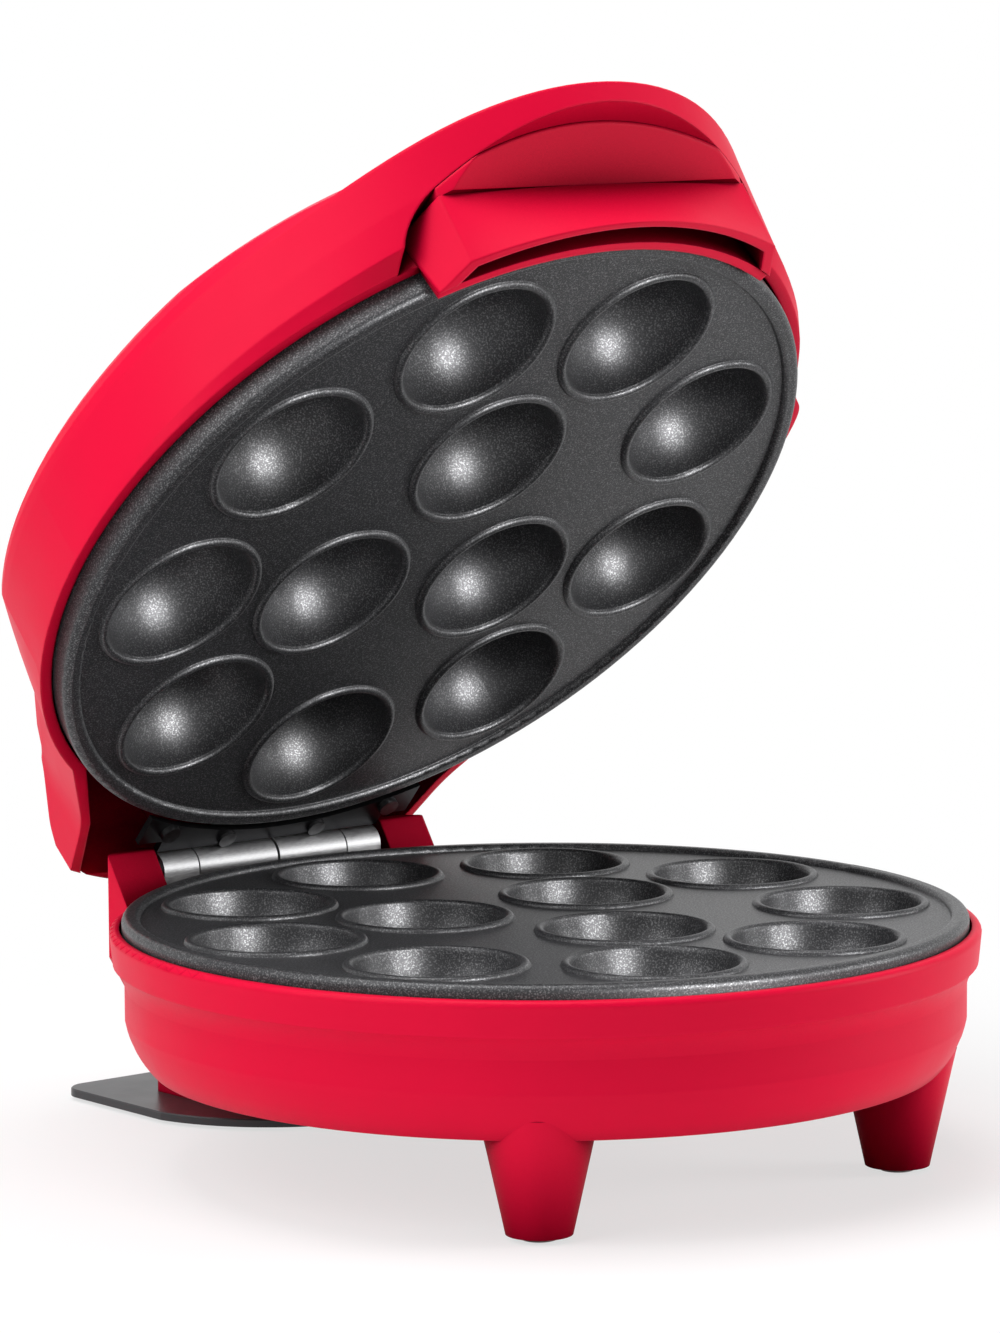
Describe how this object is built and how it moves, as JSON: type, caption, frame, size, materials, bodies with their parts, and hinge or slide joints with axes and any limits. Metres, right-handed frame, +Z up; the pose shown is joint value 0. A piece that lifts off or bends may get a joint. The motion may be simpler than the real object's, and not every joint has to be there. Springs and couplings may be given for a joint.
{
  "type": "cake pop maker",
  "caption": "Round hinged countertop cooker for ball-shaped cakes, lid held open, half-ball cups in both dark plates, front legs and a flat rear stand.",
  "frame": {"origin": "on the floor, below the middle of the overall length, on the middle plane", "axes": "+Z up, -Y towards the front and the handle, +Y towards the hinge, +X to the right seen from the front"},
  "size_m": [0.207, 0.2369, 0.2552],
  "materials": {
    "red_housing": "bright red satin-gloss moulding",
    "dark_plastic": "dark grey glossy moulding",
    "non_stick": "cast aluminium with dark speckled non-stick coating",
    "steel": "plain light grey steel",
    "dark_steel": "dark painted steel",
    "sheath": "heat-tinted sheath tube",
    "reflector_sheet": "bright aluminium sheet",
    "pad_rubber": "pale rubber",
    "dark_rubber": "black rubber",
    "ceramic_part": "pale ceramic",
    "amber_lens": "clear amber plastic",
    "lamp_glass": "small glow lamp"
  },
  "bodies": {
    "base": {"base_shell": "red_housing", "cord_wrap_stem": "red_housing", "cord_wrap_plate": "dark_plastic", "front_foot_pads": "pad_rubber", "rear_foot_pads": "pad_rubber", "cord_wrap_plate_screws": "steel", "cord_wrap_stem_screws": "steel", "lower_plate_screws": "steel", "base_hinge_leaf": "steel", "base_hinge_screws": "steel", "hinge_pin": "steel", "cord_inlet_grommet": "dark_rubber", "lower_thermostat": "ceramic_part", "thermal_fuse": "ceramic_part", "thermal_fuse_strap": "steel", "terminal_block": "ceramic_part", "lower_plate": "non_stick", "lower_heating_element": "sheath", "lower_reflector": "reflector_sheet"},
    "lid": {"lid_shell": "red_housing", "handle_grip": "red_housing", "upper_plate": "non_stick", "upper_heating_element": "sheath", "upper_reflector": "reflector_sheet", "lid_hinge_bracket": "dark_steel", "lid_hinge_knuckle": "steel", "hinge_rivets": "steel", "lid_bracket_screws": "steel", "upper_plate_clips": "steel", "indicator_lenses": "amber_lens", "indicator_lamps": "lamp_glass"}
  },
  "joints": [
    {"name": "lid_hinge", "type": "hinge", "parent": "base", "child": "lid", "pos_m": [0, 0.0949, 0.0592], "axis": [-1, 0, 0], "range_deg": [-48.6, 46.4]}
  ]
}
